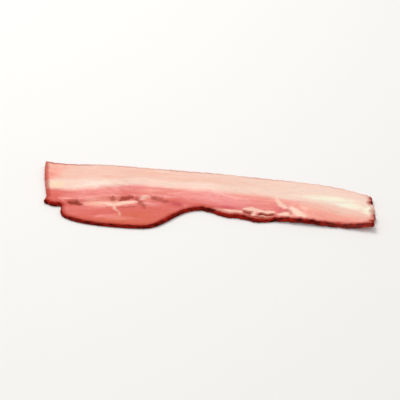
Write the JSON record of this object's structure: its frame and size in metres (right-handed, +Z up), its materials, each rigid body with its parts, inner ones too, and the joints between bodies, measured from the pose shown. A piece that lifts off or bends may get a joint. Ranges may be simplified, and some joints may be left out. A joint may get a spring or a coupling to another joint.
{
  "type": "smoked streaky bacon rasher",
  "caption": "Thin slice of smoked streaky bacon: a gently bowed strip of fat and lean bands with a rounded lean lobe on its belly side, lying loosely in low waves.",
  "frame": {"origin": "middle of the slice's footprint, on the surface that it lies on", "axes": "+X along the slice from its slanting cut end to its ragged end, +Y to the skin side, +Z up"},
  "size_m": [0.2096, 0.0708, 0.0068],
  "materials": {
    "meat": "moist, softly glossy raw meat and fat with a dark smoked edge"
  },
  "bodies": {
    "root": {"rasher": "meat"}
  },
  "joints": []
}
